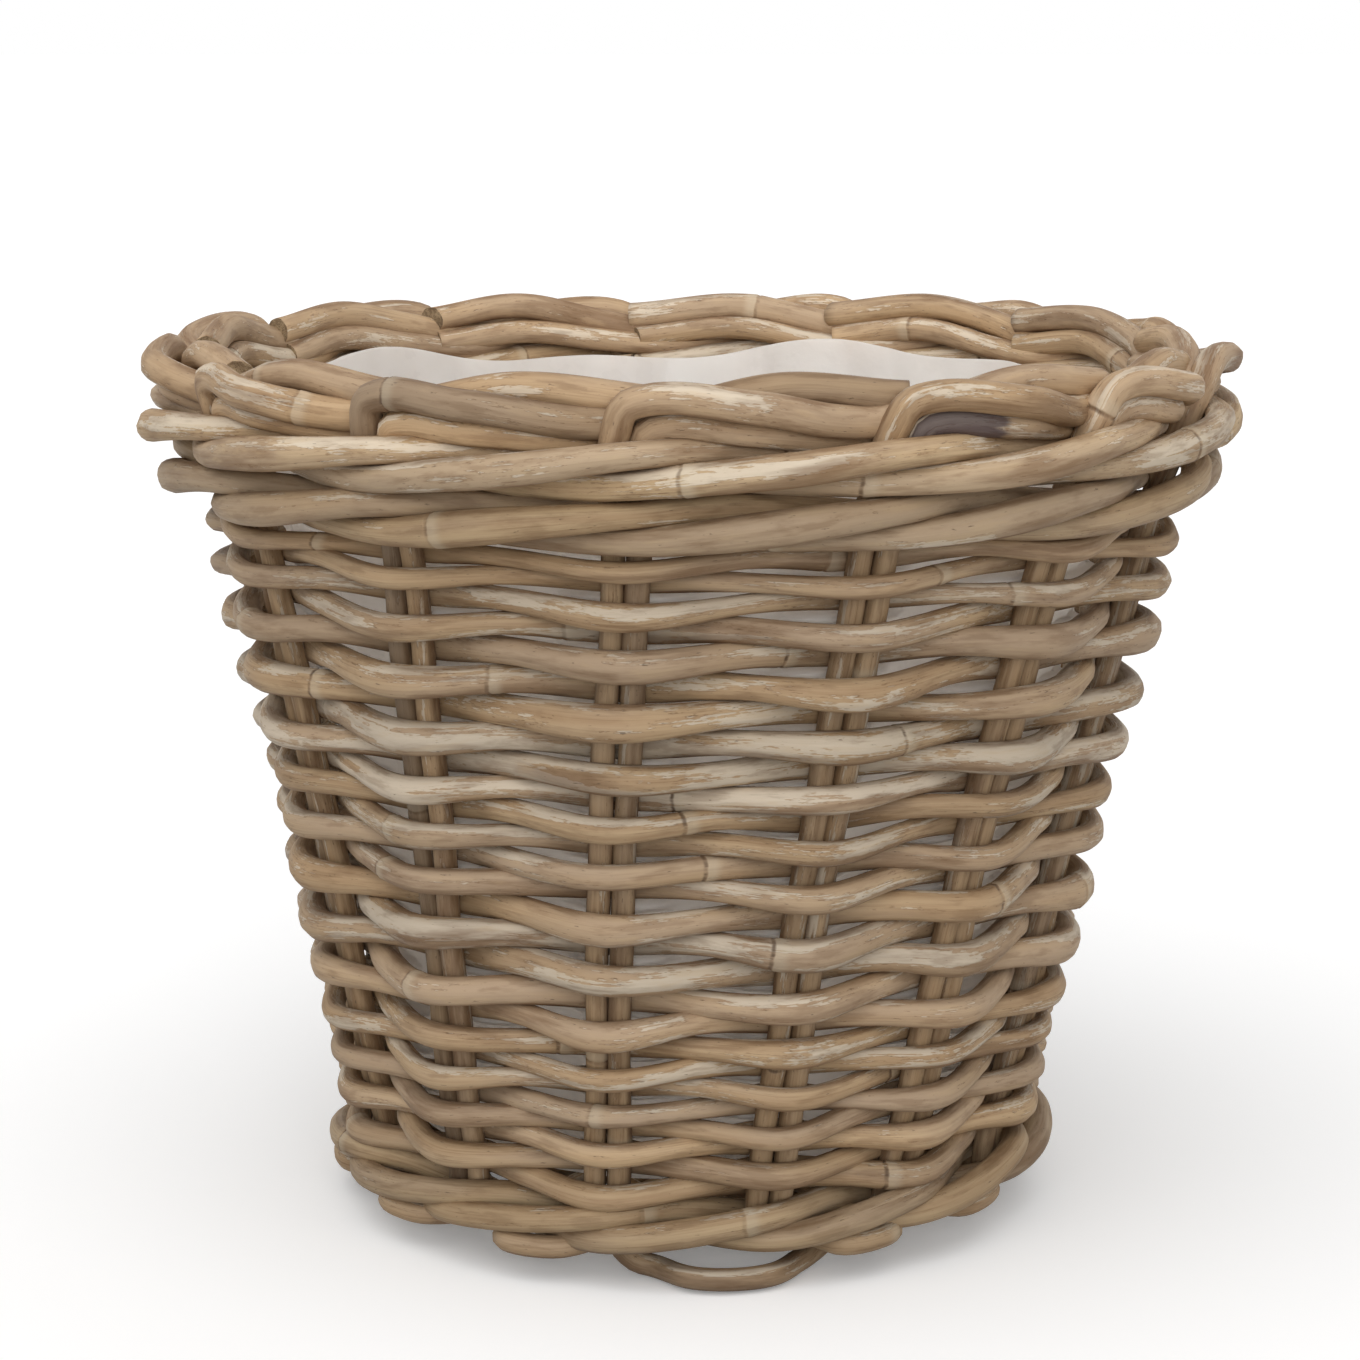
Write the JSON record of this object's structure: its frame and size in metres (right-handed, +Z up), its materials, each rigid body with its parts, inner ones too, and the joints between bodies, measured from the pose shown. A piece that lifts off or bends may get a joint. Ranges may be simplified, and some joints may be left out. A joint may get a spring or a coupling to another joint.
{
  "type": "rattan planter basket",
  "caption": "Round tapered planter basket hand-woven from weathered cane, with paired stakes, a waled rim, a turned-over border and a plastic film liner.",
  "frame": {"origin": "middle of the basket's box on the surface it stands on", "axes": "+Z up; -Y is the front, the side seen in the picture; +X is to the right from there"},
  "size_m": [0.3128, 0.3126, 0.244],
  "materials": {
    "rattan_stake": "dry weathered cane, brown and a little darker than the weave, matt",
    "rattan_weaver": "grey-brown weathered cane with long fibre streaks, scuffed pale patches and dark node rings, matt to satin",
    "rattan_wale": "grey-brown weathered cane, paler and smoother, with dark node rings, satin",
    "rattan_base": "dry weathered cane, matt",
    "liner_film": "pale grey plastic film, creased, half gloss"
  },
  "bodies": {
    "root": {"stake_01_left": "rattan_stake", "stake_01_right": "rattan_stake", "stake_02_left": "rattan_stake", "stake_02_right": "rattan_stake", "stake_03_left": "rattan_stake", "stake_03_right": "rattan_stake", "stake_04_left": "rattan_stake", "stake_04_right": "rattan_stake", "stake_05_left": "rattan_stake", "stake_05_right": "rattan_stake", "stake_06_left": "rattan_stake", "stake_06_right": "rattan_stake", "stake_07_left": "rattan_stake", "stake_07_right": "rattan_stake", "stake_08_left": "rattan_stake", "stake_08_right": "rattan_stake", "stake_09_left": "rattan_stake", "stake_09_right": "rattan_stake", "stake_10_left": "rattan_stake", "stake_10_right": "rattan_stake", "stake_11_left": "rattan_stake", "stake_11_right": "rattan_stake", "stake_12_left": "rattan_stake", "stake_12_right": "rattan_stake", "stake_13_left": "rattan_stake", "stake_13_right": "rattan_stake", "side_weaver_01": "rattan_weaver", "side_weaver_02": "rattan_weaver", "side_weaver_03": "rattan_weaver", "side_weaver_04": "rattan_weaver", "side_weaver_05": "rattan_weaver", "side_weaver_06": "rattan_weaver", "side_weaver_07": "rattan_weaver", "side_weaver_08": "rattan_weaver", "side_weaver_09": "rattan_weaver", "side_weaver_10": "rattan_weaver", "side_weaver_11": "rattan_weaver", "side_weaver_12": "rattan_weaver", "side_weaver_13": "rattan_weaver", "side_weaver_14": "rattan_weaver", "side_weaver_15": "rattan_weaver", "side_weaver_16": "rattan_weaver", "foot_wale_1": "rattan_wale", "foot_wale_2": "rattan_wale", "foot_wale_3": "rattan_wale", "rim_wale_lower_1": "rattan_wale", "rim_wale_lower_2": "rattan_wale", "rim_wale_lower_3": "rattan_wale", "rim_wale_upper_1": "rattan_wale", "rim_wale_upper_2": "rattan_wale", "rim_wale_upper_3": "rattan_wale", "base_stick_1": "rattan_base", "base_stick_2": "rattan_base", "base_stick_3": "rattan_base", "base_stick_4": "rattan_base", "base_stick_5": "rattan_base", "base_stick_6": "rattan_base", "base_weaver_1": "rattan_base", "base_weaver_2": "rattan_base", "plastic_liner": "liner_film"}
  },
  "joints": []
}
